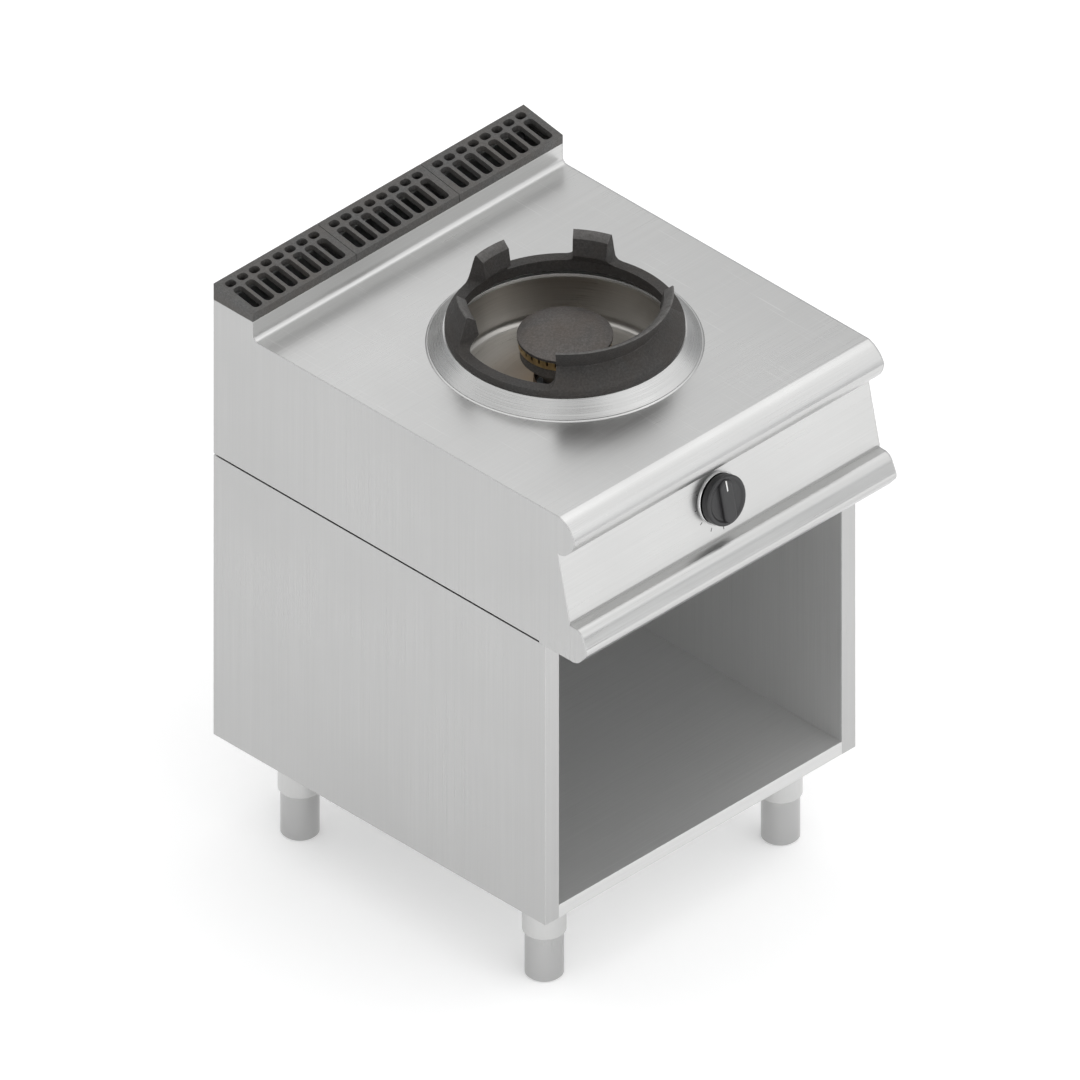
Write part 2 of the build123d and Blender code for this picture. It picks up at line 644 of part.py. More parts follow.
def wok_ring():
    """Cast-iron ring: three narrow lugs at the back and sides, a flame shield in front."""
    ring = revolve(Plane.XZ * ring_section(), Axis.Z)
    for angle in LUG_ANGLES:
        ring += lug_buttress(angle)
    shield_right = -90 + SHIELD_HALF_ANGLE
    shield_left = 270 - SHIELD_HALF_ANGLE
    starts = [shield_right] + [angle + LUG_HALF_ANGLE for angle in LUG_ANGLES]
    ends = [angle - LUG_HALF_ANGLE for angle in LUG_ANGLES] + [shield_left]
    for start, end in zip(starts, ends):
        ring -= ring_window(start, end)
    return Pos(0, BURNER_Y, TOP_Z) * ring


# ---------------------------------------------------------------- burner
BURNER_BASE_Z = 700.0
GAS_Z = 724.0                 # axis of the mixer tube
CUP_Z = TOP_Z - 4             # rim of the burner cup
CUP_R = 62.0
CUP_WALL = 8.0
NECK_R = 34.0                 # where the cup's cone starts
THROAT_R = 22.0               # inside of the upright throat
THROAT_WALL = 8.0
MIXTURE_R = 16.0              # bore between the mixer tube and the throat
JOINT_R = 30.0                # flanges between burner and mixer tube
JOINT_T = 6.0
MIXER_JOINT_Y = BURNER_Y - 48
MIXER_MOUTH_Y = BURNER_Y - 158
CROWN_H = 13.0
CROWN_R = 64.0
CROWN_BORE_R = 50.0
PORT_COUNT = 32
PORT_W = 3.0


def burner_body():
    """Cast burner: throat, cup and the side inlet for the gas and air mixture."""
    foot_z = BURNER_BASE_Z + 6
    cone_top = CUP_Z - 16
    cone_low = cone_top - (CUP_R - NECK_R)
    bowl_r, bowl_z = CUP_R - CUP_WALL, cone_top + 4
    bowl_low_r = NECK_R - 6
    bowl_low = bowl_z - (bowl_r - bowl_low_r)
    outer_r = THROAT_R + THROAT_WALL
    section = polygon(
        (0, BURNER_BASE_Z), (outer_r, BURNER_BASE_Z), (outer_r, BURNER_BASE_Z + 5),
        (outer_r - 4, BURNER_BASE_Z + 9), (outer_r, cone_low - 9), (NECK_R, cone_low), (CUP_R, cone_top),
        (CUP_R, CUP_Z), (bowl_r, CUP_Z), (bowl_r, bowl_z), (bowl_low_r, bowl_low),
        (THROAT_R - 2, bowl_low - 11), (THROAT_R - 4, foot_z), (0, foot_z),
    )
    body = turned(section, 0, BURNER_Y)
    arm = 36.0
    inlet = Pos(0, MIXER_JOINT_Y, GAS_Z) * Rot(90, 0, 0)
    body += inlet * Pos(0, 0, -arm / 2) * Cylinder(THROAT_R, arm)
    body += inlet * Pos(0, 0, -JOINT_T / 2) * Cylinder(JOINT_R, JOINT_T)
    body -= inlet * Pos(0, 0, -arm / 2) * Cylinder(MIXTURE_R, arm + 24)
    return body


def burner_crown():
    """Flame crown: a brass ring with radial ports cut into its upper edge."""
    top = CUP_Z + CROWN_H
    section = polygon(
        (CROWN_BORE_R, CUP_Z), (CROWN_R, CUP_Z), (CROWN_R, top - 2), (CROWN_R - 2, top), (CROWN_BORE_R, top)
    )
    crown = turned(section, 0, BURNER_Y)
    port = box(CROWN_BORE_R - 10, CROWN_R + 16, -PORT_W / 2, PORT_W / 2, CUP_Z + 5, top + 1)
    ports = [Pos(0, BURNER_Y, 0) * Rot(0, 0, 360 * step / PORT_COUNT) * port for step in range(PORT_COUNT)]
    return crown - ports


def burner_cap():
    """Domed cast-iron lid that drops into the crown."""
    low = CUP_Z + CROWN_H
    rim_r, rim_t = CROWN_R + 2, 4.0
    dome_h, flat_r = 11.0, 18.0
    spigot_r, spigot_wall, spigot_h = CROWN_BORE_R - 0.5, 4.5, 6.0
    dome = flat(
        Polyline((0, low + dome_h), (flat_r, low + dome_h)),
        ThreePointArc((flat_r, low + dome_h), (46, low + 9), (rim_r, low + rim_t)),
        Polyline(
            (rim_r, low + rim_t), (rim_r, low), (spigot_r, low), (spigot_r, low - spigot_h),
            (spigot_r - spigot_wall, low - spigot_h), (spigot_r - spigot_wall, low), (30, low + 3),
            (0, low + 3), (0, low + dome_h),
        ),
    )
    return turned(dome, 0, BURNER_Y)


MOUTH_R = 26.0                # outside of the mixer's mouth
MOUTH_WALL = 4.0
VENTURI_R = 14.0              # narrowest bore of the mixer
JET_HOLE_R = 6.2
WINDOW_COUNT = 3
WINDOW_LENGTH = 17.0


def mixer_tube():
    """Venturi tube between burner and injector, with air windows near its mouth."""
    joint, mouth = MIXER_JOINT_Y, MIXER_MOUTH_Y
    waist = joint - 36
    flare_end = joint - 58
    face = mouth + MOUTH_WALL
    section = polygon(
        (MIXTURE_R, joint), (JOINT_R, joint), (JOINT_R, joint - JOINT_T), (THROAT_R, joint - JOINT_T),
        (VENTURI_R + 5, waist), (MOUTH_R, flare_end), (MOUTH_R, mouth), (JET_HOLE_R, mouth),
        (JET_HOLE_R, face), (MOUTH_R - MOUTH_WALL, face), (MOUTH_R - MOUTH_WALL, flare_end - 2),
        (VENTURI_R, waist),
    )
    tube = revolve(section, Axis.Y)
    window = box(12, MOUTH_R + 8, face + 1, face + 1 + WINDOW_LENGTH, -15, 15)
    for step in range(WINDOW_COUNT):
        tube -= Rot(0, 360 / WINDOW_COUNT * step, 0) * window
    return Pos(0, 0, GAS_Z) * tube


SHUTTER_TRAVEL = 20.0
SHUTTER_PARK = 24.0           # open shutter behind the mixer's mouth


def air_shutter():
    """Sleeve that slides over the mixer's air windows."""
    y0 = MIXER_MOUTH_Y + SHUTTER_PARK
    y1 = y0 + SHUTTER_TRAVEL
    inner, outer = MOUTH_R + 0.3, MOUTH_R + 2.3
    section = polygon((inner, y0), (outer, y0), (outer, y1), (inner, y1))
    return Pos(0, 0, GAS_Z) * revolve(section, Axis.Y)


JET_HEAD = 8.0                # jet's head in front of the mixer
HOLDER_Y = MIXER_MOUTH_Y - JET_HEAD
HOLDER_DEPTH = 20.0
HOLDER_BOSS = 18.0            # foot of its boss below the jet's axis


def injector():
    """Brass gas jet screwed through the mixer's mouth."""
    y = MIXER_MOUTH_Y
    jet_r, tip_r, body_r, head_r = 1.2, 3.5, JET_HOLE_R - 0.2, 8.0
    section = polygon(
        (jet_r, y + 18), (tip_r, y + 18), (body_r, y + 12), (body_r, y - 1), (head_r, y - 1),
        (head_r, y - JET_HEAD), (jet_r, y - JET_HEAD),
    )
    return Pos(0, 0, GAS_Z) * revolve(section, Axis.Y)


def injector_holder():
    """Brass elbow that carries the jet and takes the burner pipe from below."""
    half_w, half_h = 11.0, 12.0
    block = box(-half_w, half_w, HOLDER_Y - HOLDER_DEPTH, HOLDER_Y, GAS_Z - half_h, GAS_Z + half_h)
    block = fillet(block.edges().filter_by(Axis.Y), 4)
    return block + drum(7.5, GAS_Z - HOLDER_BOSS, GAS_Z - half_h, 0, HOLDER_Y - HOLDER_DEPTH / 2)


def burner_bracket():
    """Bent bridge that carries the burner over the heat shield."""
    t, half, toe, width = 3.0, 45.0, 20.0, 72.0
    low, high = SEAM_Z + SHEET, BURNER_BASE_Z
    section = polygon(
        (-half - toe, low), (-half, low), (-half, high - t), (half, high - t), (half, low),
        (half + toe, low), (half + toe, low + t), (half + t, low + t), (half + t, high),
        (-half - t, high), (-half - t, low + t), (-half - toe, low + t),
    )
    return lengthwise(section, BURNER_Y - width / 2, BURNER_Y + width / 2)


NUT_R = 8.0                   # collar and nut that clamp a stem to the bowl's floor


def clamped_stem(spot, low, top, r, tip_r):
    """A stem clamped to the bowl's floor by a collar above it and a nut below."""
    x, y = spot
    floor_low = TOP_Z - BOWL_DEPTH
    floor_top = floor_low + SHEET
    section = polygon(
        (0, low), (r, low), (r, floor_low - 6), (NUT_R, floor_low - 6), (NUT_R, floor_low), (r, floor_low),
        (r, floor_top), (NUT_R, floor_top), (NUT_R, floor_top + 5), (tip_r, floor_top + 7), (tip_r, top),
        (0, top),
    )
    return turned(section, x, y)


PIPE_Z = 764.0                # where the pilot pipe and the sensor lead end
HOOD_R = 6.5
HOOD_LOW = TOP_Z - 6
HOOD_TOP = TOP_Z + 5


def pilot_burner():
    """Pilot: a stem with a hood that points at the crown."""
    x, y = PILOT_SPOTS[0]
    inner, roof = HOOD_R - 1.5, 2.0
    stem = clamped_stem(PILOT_SPOTS[0], PIPE_Z, HOOD_LOW, PILOT_R, PILOT_R - 1)
    hood = drum(HOOD_R, HOOD_LOW, HOOD_TOP, x, y)
    hood -= drum(inner, HOOD_LOW + roof, HOOD_TOP - roof, x, y)
    hood -= box(x - 4, x + 4, y, y + 10, HOOD_LOW + roof, HOOD_TOP - roof)
    return stem + hood


def thermocouple():
    """Flame sensor beside the pilot."""
    return clamped_stem(PILOT_SPOTS[1], PIPE_Z, TOP_Z + 4, PILOT_R, PILOT_R - 2.4)


# ---------------------------------------------------------------- gas tap and knob
TAP_NEAR = -8.0               # local z of the tap's barrel, inside the panel
TAP_FAR = -72.0
TAP_R = 17.0
INLET_AT = -48.0              # gas inlet, local z
OUTLET_AT = -60.0
PILOT_AT = -40.0
INLET_BOSS = 30.0             # end of the inlet's boss beside the tap's axis
OUTLET_BOSS = 28.0
PILOT_BOSS = 24.0
LEAD_PLUG = 6.0               # plug of the sensor lead behind the tap
ROD_R = 3.0                   # push rod
SPINDLE_R = 4.0
SPINDLE_FLAT = 3.0            # flat of the spindle from its axis


def at_knob(x, z):
    """A point of the tap's frame, given its offset to the side and along the axis."""
    point = KNOB_FRAME.from_local_coords(Vector(x, 0, z))
    return (point.X, point.Y, point.Z)


def along(r, z0, z1):
    """A cylinder on the tap's axis, in the tap's own frame."""
    return Pos(0, 0, (z0 + z1) / 2) * Cylinder(r, z1 - z0)


def boss(r, x0, x1, z):
    """A cylinder out of the tap's side, in the tap's own frame."""
    return Pos((x0 + x1) / 2, 0, z) * Rot(0, 90, 0) * Cylinder(r, abs(x1 - x0))


def tap_body():
    """Gas tap with safety valve: flange, barrel and side bosses."""
    flange_t = 6.0
    flange = Pos(0, 0, TAP_NEAR - flange_t / 2) * extrude(RectangleRounded(56, 32, 8), amount=flange_t)
    body = flange + along(TAP_R, TAP_FAR, TAP_NEAR) + along(6, TAP_FAR - LEAD_PLUG, TAP_FAR)
    body += boss(11, -INLET_BOSS, -10, INLET_AT)
    body += boss(8, 8, OUTLET_BOSS, OUTLET_AT)
    body += boss(5, 12, PILOT_BOSS, PILOT_AT)
    body -= along(SPINDLE_R + 1, -34, -2)
    body -= along(ROD_R + 0.6, -61, -31)
    for x in TAP_SCREWS_X:
        body -= Pos(x, 0, TAP_NEAR) * Cylinder(TAP_SCREW_R + 0.2, 14)
    return KNOB_FRAME * body


def tap_screws():
    """Screws through the panel into the tap's flange, hidden by the knob."""
    screws = []
    for x in TAP_SCREWS_X:
        screw = Pos(x, 0, 1) * Cylinder(3.8, 2) + Pos(x, 0, -5.5) * Cylinder(TAP_SCREW_R, 11)
        screws.append(KNOB_FRAME * screw)
    return joined(screws)


def tap_plunger():
    """Push rod that opens the safety valve; it slides and doesn't turn."""
    return KNOB_FRAME * (along(ROD_R, -48, -28) + along(SPINDLE_R + 0.5, -28, -26))


def tap_spindle():
    """D-shaped spindle between the knob and the tap."""
    shaft = along(SPINDLE_R, -26, 15)
    shaft -= Pos(0, SPINDLE_FLAT + 1.5, 8) * Box(12, 3, 14.1)
    return KNOB_FRAME * shaft


def knob_bezel():
    """Ring on the panel behind the knob, round the tap's screws."""
    edge = 0.8
    section = polygon(
        (BEZEL_IN_R, 0), (BEZEL_R, 0), (BEZEL_R, BEZEL_T - edge), (BEZEL_R - edge, BEZEL_T),
        (BEZEL_IN_R, BEZEL_T),
    )
    return KNOB_FRAME * revolve(Plane.XZ * section, Axis.Z)


def knob():
    """Round knob with a raised grip bar; hollow behind, with a boss for the spindle."""
    low, high = KNOB_GAP, KNOB_GAP + KNOB_DEPTH
    hollow_r, hollow_h, edge, dish = 31.0, 5.0, 2.0, 2.0
    skirt = polygon(
        (0, low + hollow_h), (hollow_r, low + hollow_h), (hollow_r, low), (KNOB_R, low),
        (KNOB_R, high - edge), (KNOB_R - edge, high), (KNOB_R - 5, high), (KNOB_R - 8, high - dish),
        (0, high - dish),
    )
    body = revolve(Plane.XZ * skirt, Axis.Z) + along(9, low, high)
    bar = extrude(SlotOverall(2 * KNOB_R - 8, KNOB_BAR_W, rotation=90), amount=KNOB_BAR_RISE + 3)
    bar = fillet(bar.edges().group_by(Axis.Z)[-1], 4)
    body += Pos(0, 0, high - 3) * bar
    bore = along(SPINDLE_R + 0.05, -1.1, 15.1) - Pos(0, SPINDLE_FLAT + 1.6, 8) * Box(12, 3, 15)
    pointer = Pos(0, KNOB_R - 13, high + KNOB_BAR_RISE) * Box(2.4, 16, 1.6)
    return KNOB_FRAME * (body - bore - pointer)


# ---------------------------------------------------------------- pipework
def supply_pipe():
    """Gas pipe from the inlet at the back to the tap."""
    start = at_knob(-INLET_BOSS, INLET_AT)
    corner = (INLET_X, start[1], start[2])
    points = [start, corner, (INLET_X, FRONT + 80, INLET_Z), (INLET_X, INLET_FACE_Y, INLET_Z)]
    return pipe(points, 30, 8.6, 6.6)


def burner_pipe():
    """Pipe from the tap down and round to the injector holder."""
    start = at_knob(OUTLET_BOSS, OUTLET_AT)
    side_x, low_z = 58.0, 686.0
    y = HOLDER_Y - HOLDER_DEPTH / 2
    points = [
        start, (side_x, start[1], start[2]), (side_x, y, low_z), (0, y, low_z), (0, y, GAS_Z - HOLDER_BOSS)
    ]
    return pipe(points, 14, 5, 3.8)


LEAD_Z = 750.0                # height at which pilot pipe and sensor lead run


def pilot_pipe():
    """Thin pipe from the tap to the pilot."""
    start = at_knob(PILOT_BOSS, PILOT_AT)
    x, y = PILOT_SPOTS[0]
    side_x = 46.0
    points = [
        start, (side_x, start[1], start[2]), (side_x, FRONT + 51, LEAD_Z), (side_x, y, LEAD_Z),
        (x, y, LEAD_Z), (x, y, PIPE_Z),
    ]
    return pipe(points, 7, 2, 0)


def thermocouple_lead():
    """Sensor lead from the flame sensor to the end of the tap."""
    start = at_knob(0, TAP_FAR - LEAD_PLUG)
    ahead = at_knob(0, TAP_FAR - LEAD_PLUG - 16)
    x, y = PILOT_SPOTS[1]
    side_x, low_z = -46.0, LEAD_Z - 2
    points = [
        start, ahead, (side_x, FRONT + 76, LEAD_Z - 24), (side_x, y, low_z), (x, y, low_z), (x, y, PIPE_Z)
    ]
    return pipe(points, 7, 1.5, 0)


def gas_inlet():
    """Threaded inlet: hexagon inside the back, shoulder in its hole, thread outside."""
    shoulder_low = INLET_HEX_H
    shoulder_top = INLET_HEX_H + SHEET + INLET_COLLAR_OUT
    thread_low = shoulder_top + INLET_RELIEF
    tip = REAR_RECESS + INLET_HEX_H + SHEET - INLET_SHORT
    stub = hexagon(INLET_HEX, 0, INLET_HEX_H) + drum(INLET_COLLAR_R, shoulder_low, shoulder_top)
    stub += drum(INLET_R - 1.2, shoulder_top, thread_low) + drum(INLET_R, thread_low, tip)
    stub -= drum(INLET_BORE_R, -1, tip + 1)
    return Pos(INLET_X, INLET_FACE_Y, INLET_Z) * Rot(-90, 0, 0) * stub


def earth_stud():
    """Stud for bonding the range to its neighbours, with its nuts and washer."""
    y0 = BACK - REAR_RECESS
    nut, washer_t, cable_gap = 10.0, 1.5, 2.5
    first = washer_t + 5
    second = first + cable_gap
    stud = hexagon(nut, -SHEET - 4, -SHEET) + drum(EARTH_R, -SHEET, 18)
    stud += drum(6.5, 0, washer_t) + hexagon(nut, washer_t, first) + hexagon(nut, second, second + 5)
    return Pos(EARTH_X, y0, EARTH_Z) * Rot(-90, 0, 0) * stud


# ---------------------------------------------------------------- write the nodes
def write_base():
    save("base_side_left", base_side())
    save("base_side_right", mirrored(base_side()))
    save("base_liner_left", base_liner())
    save("base_liner_right", mirrored(base_liner()))
    save("base_floor", base_floor())
    save("base_back", box(-INNER, INNER, BACK - SHEET, BACK, BASE_Z, SEAM_Z))
    save("base_front_rail", base_rail(FRONT, FRONT + 40, 1))
    save("base_rear_rail", base_rail(BACK - SHEET - 40, BACK - SHEET, -1))
    save("corner_plates", joined(corner_plate(x, y) for x, y in LEG_SPOTS.values()))
    save("leg_bolts", leg_bolts())
    for place, (x, y) in LEG_SPOTS.items():
        save(f"leg_sleeve_{place}", leg_socket(x, y))
        save(f"foot_{place}", foot(x, y))


def write_upper_unit():
    save("upper_side_left", upper_side())
    save("upper_side_right", mirrored(upper_side()))
    save("worktop", worktop())
    save("wok_collar", wok_collar())
    save("spill_bowl", spill_bowl())
    save("control_panel", control_panel())
    save("lower_nose", front_nose())
    save("panel_screws", panel_screws())
    save("upper_back", upper_back())
    save("seam_gasket", seam_gasket())
    save("heat_shield", heat_shield())
    for index, place in enumerate(("left", "centre", "right")):
        save(f"flue_grille_{place}", flue_grille(index))


def write_burner():
    save("wok_ring", wok_ring())
    save("burner_body", burner_body())
    save("burner_crown", burner_crown())
    save("burner_cap", burner_cap())
    save("mixer_tube", mixer_tube())
    save("air_shutter", air_shutter())
    save("injector", injector())
    save("injector_holder", injector_holder())
    save("burner_bracket", burner_bracket())
    save("pilot_burner", pilot_burner())
    save("thermocouple", thermocouple())


def write_gas_train():
    save("gas_tap", tap_body())
    save("tap_screws", tap_screws())
    save("tap_plunger", tap_plunger())
    save("tap_spindle", tap_spindle())
    save("knob_bezel", knob_bezel())
    save("knob", knob())
    save("supply_pipe", supply_pipe())
    save("burner_pipe", burner_pipe())
    save("pilot_pipe", pilot_pipe())
    save("thermocouple_lead", thermocouple_lead())
    save("gas_inlet", gas_inlet())
    save("earth_stud", earth_stud())


write_base()
write_upper_unit()
write_burner()
write_gas_train()
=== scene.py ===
import math

import bpy
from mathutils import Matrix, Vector


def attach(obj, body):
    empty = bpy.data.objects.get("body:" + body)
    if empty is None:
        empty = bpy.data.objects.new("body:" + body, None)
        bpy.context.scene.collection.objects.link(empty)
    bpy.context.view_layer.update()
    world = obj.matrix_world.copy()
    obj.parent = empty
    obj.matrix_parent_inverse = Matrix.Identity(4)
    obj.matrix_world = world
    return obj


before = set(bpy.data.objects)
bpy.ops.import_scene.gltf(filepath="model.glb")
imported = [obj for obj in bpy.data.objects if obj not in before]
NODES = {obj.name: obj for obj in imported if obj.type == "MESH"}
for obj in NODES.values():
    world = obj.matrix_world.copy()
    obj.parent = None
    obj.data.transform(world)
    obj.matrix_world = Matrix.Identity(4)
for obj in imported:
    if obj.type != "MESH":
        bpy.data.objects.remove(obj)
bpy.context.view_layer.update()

# ------------------------------------------------------------------ sizes, in metres
RING = (0.0, -0.019)            # axis of the wok ring and the burner
RING_LOW, RING_TOP = 0.918, 0.934           # the stretch where a wok rubs the ring bright

WORKTOP = 0.847                 # height of the worktop
COLLAR_R = 0.190                # the collar's outer edge, where it meets the worktop
WELD = (                        # the weld's section: outwards from that edge, and upwards
    (-0.0022, -0.0002), (0.0016, -0.0002), (0.0009, 0.0005), (-0.0004, 0.0012), (-0.0016, 0.0022),
)
WELD_STEPS = 360

KNOB = Vector((0.0, -0.316279, 0.734))      # the knob's centre on the panel
KNOB_RIGHT = Vector((1.0, 0.0, 0.0))
KNOB_UP = Vector((0.0, 0.215936, 0.976407))
KNOB_OUT = Vector((0.0, -0.976407, 0.215936))
GRIP_TOP = 0.0220               # top of the knob's grip bar above the panel
GROOVE_W, GROOVE_L = 0.0024, 0.016          # the pointer's groove in that top
GROOVE_MIDDLE = 0.0235          # from the knob's axis to the groove's middle
PAINT_GAP = 0.0001              # the paint stays this far inside the groove
PAINT_DEPTH = 0.0008
PAINT_DOME = 0.0002

PRINT_T = 0.00012               # thickness of the printed marks
PRINT_DOME = PRINT_T / 4
DOT_AT, DOT_R = 0.0452, 0.0019  # the dot for off
DOT_STEPS = 24
TICKS = 5                       # ticks that grow towards full flame
TICK_AT, TICK_W = 0.0420, 0.0012
TICK_L, TICK_GROWTH = 0.0028, 0.0008
TICK_START, TICK_STEP = -60, -30            # degrees from the dot, the way the knob turns


# ------------------------------------------------------------------ node helpers
AROUND = 0.8                    # how fast turned marks change round the axis
SCRATCH_ACROSS, SCRATCH_ALONG = 650, 7      # changes per metre
SCRATCH_SOFT = 0.03             # from no scratch to a full one, in noise value


class Net:
    """A material's node tree with short ways to add to it."""

    def __init__(self, name):
        self.material = bpy.data.materials.new(name)
        self.material.use_nodes = True
        self.tree = self.material.node_tree
        self.tree.nodes.clear()
        self.out = self.add("ShaderNodeOutputMaterial")
        self.shader = self.add("ShaderNodeBsdfPrincipled")
        self.link(self.shader.outputs[0], self.out.inputs[0])

    def add(self, kind, **values):
        node = self.tree.nodes.new(kind)
        for key, value in values.items():
            setattr(node, key, value)
        return node

    def link(self, a, b):
        self.tree.links.new(a, b)

    def feed(self, socket, value):
        """Sets a socket to a number or colour, or links another node's output to it."""
        if isinstance(value, bpy.types.NodeSocket):
            self.link(value, socket)
        else:
            socket.default_value = value

    def set(self, **values):
        """Sets or links the shader's own sockets, with _ for a space."""
        for key, value in values.items():
            self.feed(self.shader.inputs[key.replace("_", " ")], value)

    # -- coordinates
    def place(self, scale=(1, 1, 1), shift=(0, 0, 0), turn=(0, 0, 0)):
        """Object coordinates in metres; a shift of its own keeps one noise off another."""
        coords = self.add("ShaderNodeTexCoord")
        mapping = self.add("ShaderNodeMapping", vector_type="POINT")
        mapping.inputs["Scale"].default_value = scale
        mapping.inputs["Location"].default_value = shift
        mapping.inputs["Rotation"].default_value = turn
        self.link(coords.outputs["Object"], mapping.inputs["Vector"])
        return mapping.outputs[0]

    def turned(self, fine):
        """Coordinates for marks left by turning about the ring's axis, and the radius."""
        coords = self.add("ShaderNodeTexCoord").outputs["Object"]
        x, y, z = self.split(coords)
        x = self.minus(x, RING[0])
        y = self.minus(y, RING[1])
        r = self.math("SQRT", self.plus(self.times(x, x), self.times(y, y)))
        around = self.math("ARCTAN2", y, x)
        join = self.add("ShaderNodeCombineXYZ")
        self.link(self.times(r, fine), join.inputs[0])
        self.link(self.times(around, AROUND), join.inputs[1])
        self.link(self.times(z, fine), join.inputs[2])
        return join.outputs[0], r

    def split(self, vector):
        node = self.add("ShaderNodeSeparateXYZ")
        self.link(vector, node.inputs[0])
        return tuple(node.outputs)

    # -- numbers and colours
    def math(self, operation, a, b=None):
        node = self.add("ShaderNodeMath", operation=operation)
        self.feed(node.inputs[0], a)
        if b is not None:
            self.feed(node.inputs[1], b)
        return node.outputs[0]

    def plus(self, a, b):
        return self.math("ADD", a, b)

    def minus(self, a, b):
        return self.math("SUBTRACT", a, b)

    def times(self, a, b):
        return self.math("MULTIPLY", a, b)

    def spread(self, value, low, high, a=0.3, b=0.7):
        """Maps a..b to low..high."""
        node = self.add("ShaderNodeMapRange")
        self.feed(node.inputs["Value"], value)
        node.inputs["From Min"].default_value = a
        node.inputs["From Max"].default_value = b
        node.inputs["To Min"].default_value = low
        node.inputs["To Max"].default_value = high
        return node.outputs[0]

    def blend(self, factor, first, second):
        node = self.add("ShaderNodeMix", data_type="RGBA")
        self.feed(node.inputs[0], factor)
        self.feed(node.inputs[6], first)
        self.feed(node.inputs[7], second)
        return node.outputs[2]

    def noise(self, vector, scale=1.0, detail=3.0, rough=0.55, distort=0.0):
        node = self.add("ShaderNodeTexNoise")
        self.link(vector, node.inputs["Vector"])
        node.inputs["Scale"].default_value = scale
        node.inputs["Detail"].default_value = detail
        node.inputs["Roughness"].default_value = rough
        node.inputs["Distortion"].default_value = distort
        return node.outputs["Fac"]

    def scratches(self, turn, cut):
        """Sparse fine scratches across a flat top, turned by radians; cut sets how few."""
        scale = (SCRATCH_ACROSS, SCRATCH_ALONG, SCRATCH_ACROSS)
        streak = self.noise(self.place(scale=scale, turn=(0, 0, turn)), detail=1.5)
        return self.spread(streak, 0.0, 1.0, cut, cut + SCRATCH_SOFT)

    # -- normals
    def bump(self, height, strength, distance, normal):
        node = self.add("ShaderNodeBump")
        node.inputs["Strength"].default_value = strength
        node.inputs["Distance"].default_value = distance
        self.link(height, node.inputs["Height"])
        self.link(normal, node.inputs["Normal"])
        return node.outputs[0]

    def rounded(self, radius):
        """A normal that looks as if the sharp edges were slightly rounded."""
        node = self.add("ShaderNodeBevel", samples=4)
        node.inputs["Radius"].default_value = radius
        return node.outputs[0]

    def edges(self, rounded, low=0.55, high=0.96):
        """A mask of the sharp edges: 1 on them, 0 on flat and gently curved skin."""
        dot = self.add("ShaderNodeVectorMath", operation="DOT_PRODUCT")
        self.link(rounded, dot.inputs[0])
        self.link(self.add("ShaderNodeNewGeometry").outputs["Normal"], dot.inputs[1])
        return self.spread(dot.outputs["Value"], 1.0, 0.0, low, high)


def tone(colour, *factors):
    """The colour with each channel times one shared factor, or times its own."""
    factors = factors if len(factors) == 3 else factors * 3
    return tuple(min(1.0, c * factor) for c, factor in zip(colour, factors)) + (1.0,)


# ------------------------------------------------------------------ material makers
BRUSH_ACROSS, BRUSH_ALONG = 900.0, 5.0      # a brushed sheet's streaks: changes per metre
BROAD_SCALE = 0.22              # its broad bands are this much coarser
FINE_SHARE, BROAD_SHARE = 0.72, 0.28
SPUN_FINE, LATHE_FINE = 700.0, 500.0        # turned marks on sheet and on brass, per metre
CRYSTALS = 110.0                # zinc crystals per metre


def brushed(name, colour, rough, along, edge=0.0012, strength=0.08, contrast=1.0,
            scratched=False, metal=1.0):
    """Steel sheet ground along one axis: streaks, a soft cloudiness, and a painted highlight on
    the folds.

    edge is the folds' radius, strength the streaks' depth, contrast how plainly they show.
    """
    net = Net(name)
    scale = [BRUSH_ACROSS] * 3
    scale["XYZ".index(along)] = BRUSH_ALONG
    wide = tuple(s * BROAD_SCALE for s in scale)
    streak = net.noise(net.place(scale=tuple(scale)), detail=4.0, rough=0.65)
    broad = net.noise(net.place(scale=wide, shift=(3, 5, 7)), detail=2.0)
    cloud = net.noise(net.place(shift=(1, 2, 3)), scale=4.5, detail=3.0)
    grain = net.plus(net.times(streak, FINE_SHARE), net.times(broad, BROAD_SHARE))
    base = net.blend(net.spread(grain, 0.0, 1.0),
                     tone(colour, 1 - 0.09 * contrast), tone(colour, 1 + 0.06 * contrast))
    base = net.blend(net.spread(cloud, 0.0, 0.5), base, tone(colour, 0.94))
    roughness = net.plus(net.spread(grain, rough - 0.04 * contrast, rough + 0.05 * contrast),
                         net.spread(cloud, -0.04, 0.04))
    if scratched:
        marks = net.plus(net.scratches(turn=0.5, cut=0.70), net.scratches(turn=-0.9, cut=0.71))
        base = net.blend(net.times(marks, 0.55), base, tone(colour, 1.22))
        roughness = net.plus(roughness, net.times(marks, 0.10))
    soft = net.rounded(edge)
    # Painted highlight: the folds are painted lighter; their lower roughness is polish.
    polish_and_highlight = net.times(net.edges(soft, low=0.70, high=0.97), net.spread(cloud, 0.55, 0.95))
    base = net.blend(polish_and_highlight, base, tone(colour, 1.42))
    roughness = net.minus(roughness, net.times(polish_and_highlight, 0.08))
    net.set(Base_Color=base, Metallic=metal, Roughness=roughness,
            Normal=net.bump(grain, strength, distance=0.0004, normal=soft))
    return net.material


